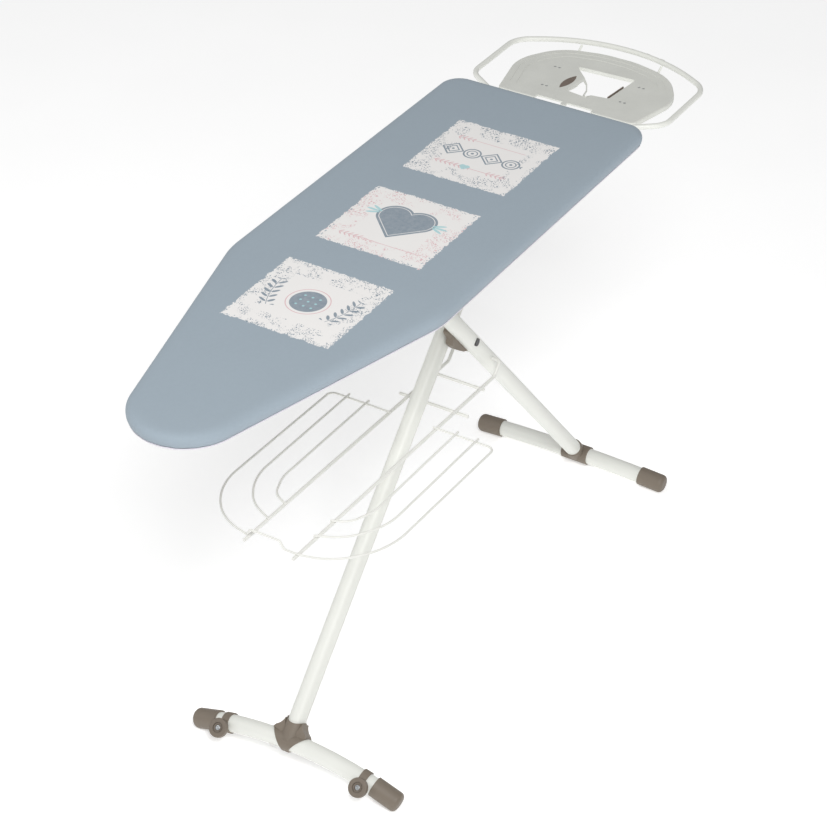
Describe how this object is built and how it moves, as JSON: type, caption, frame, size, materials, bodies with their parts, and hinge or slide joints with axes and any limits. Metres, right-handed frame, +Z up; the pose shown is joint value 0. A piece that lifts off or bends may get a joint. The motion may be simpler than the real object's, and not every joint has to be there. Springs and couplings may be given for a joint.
{
  "type": "ironing board",
  "caption": "Folding ironing board with padded fabric cover, crossed tube legs, wire laundry rack, wheels and a moulded iron rest.",
  "frame": {"origin": "on the floor, under the middle of the whole object's bounding box", "axes": "+X towards the wide end and the iron rest, +Y across to the far side, +Z up"},
  "size_m": [1.5134, 0.4506, 0.9085],
  "materials": {
    "cover_fabric": "woven cotton",
    "felt": "needle felt",
    "elastic": "braided",
    "steel_mesh": "satin",
    "rim_steel": "satin",
    "zinc_steel": "zinc plated",
    "white_coat": "satin powder coat",
    "basket_coat": "satin powder coat",
    "tray_plastic": "fine texture",
    "brown_plastic": "fine texture",
    "wheel_plastic": "fine texture",
    "brown_rubber": "matte",
    "badge_black": "polished"
  },
  "bodies": {
    "board": {"cover": "cover_fabric", "felt_pad": "felt", "hem_elastic": "elastic", "mesh_top": "steel_mesh", "rim_frame": "rim_steel", "cross_members": "rim_steel", "slide_rail_right": "rim_steel", "slide_rail_left": "rim_steel", "rail_rivets": "zinc_steel", "lever_bracket": "zinc_steel", "lever_pin": "zinc_steel", "rest_loop": "white_coat", "rest_support_wires": "white_coat", "hanger_wire": "white_coat", "rest_clamps": "zinc_steel", "rest_tray": "tray_plastic", "tray_screws": "zinc_steel", "tray_leaf_insert": "brown_rubber", "tray_edge_strip": "brown_rubber"},
    "lever": {"height_lever": "zinc_steel", "lever_grip": "brown_plastic"},
    "front_leg": {"front_leg_tube": "white_coat", "front_leg_bracket": "white_coat", "front_crossbar": "white_coat", "front_leg_plug": "brown_plastic", "front_hub": "brown_plastic", "front_foot_tube": "white_coat", "front_cap_left": "brown_plastic", "front_cap_right": "brown_plastic", "wheel_clip_left": "brown_plastic", "wheel_clip_right": "brown_plastic", "wheel_axles": "zinc_steel"},
    "rear_leg": {"rear_leg_tube": "white_coat", "rear_leg_bracket": "white_coat", "rear_crossbar": "white_coat", "rear_leg_plug": "brown_plastic", "rear_runners": "brown_plastic", "rear_hub": "brown_plastic", "rear_foot_tube": "white_coat", "rear_cap_left": "brown_plastic", "rear_cap_right": "brown_plastic", "pivot_spacer": "brown_plastic", "pivot_bolt": "zinc_steel", "badge_plug": "badge_black"},
    "wheel_left": {"wheel_left": "wheel_plastic"},
    "wheel_right": {"wheel_right": "wheel_plastic"},
    "basket": {"basket_rods": "basket_coat", "basket_outer_wire": "basket_coat", "basket_inner_wires": "basket_coat", "basket_crossbars": "basket_coat"}
  },
  "joints": [
    {"name": "legs_fold", "type": "hinge", "parent": "board", "child": "front_leg", "pos_m": [0.33975, 0, 0.85], "axis": [0, 1, 0], "range_deg": [0, 40.2]},
    {"name": "rear_leg_fold", "type": "hinge", "parent": "front_leg", "child": "rear_leg", "pos_m": [0.1161, 0, 0.5952], "axis": [0, 1, 0], "range_deg": [-84.28, 0]},
    {"name": "basket_fold", "type": "hinge", "parent": "rear_leg", "child": "basket", "pos_m": [0.19751, 0, 0.50167], "axis": [0, 1, 0], "range_deg": [0, 44.98]},
    {"name": "lever_pull", "type": "hinge", "parent": "board", "child": "lever", "pos_m": [0.1125, 0, 0.873], "axis": [0, 1, 0], "range_deg": [0, 1.8], "stiffness_Nm_per_rad": 6, "springref_deg": -8.59},
    {"name": "wheel_left_spin", "type": "hinge", "parent": "front_leg", "child": "wheel_left", "pos_m": [-0.46331, 0.134, 0.04044], "axis": [-0.703, 0, 0.7112], "continuous": true},
    {"name": "wheel_right_spin", "type": "hinge", "parent": "front_leg", "child": "wheel_right", "pos_m": [-0.46331, -0.156, 0.04044], "axis": [-0.703, 0, 0.7112], "continuous": true}
  ],
  "couplings": [
    {"joint": "rear_leg_fold", "follows": "legs_fold", "ratio": -2.0962},
    {"joint": "basket_fold", "follows": "legs_fold", "ratio": 1.1186}
  ]
}
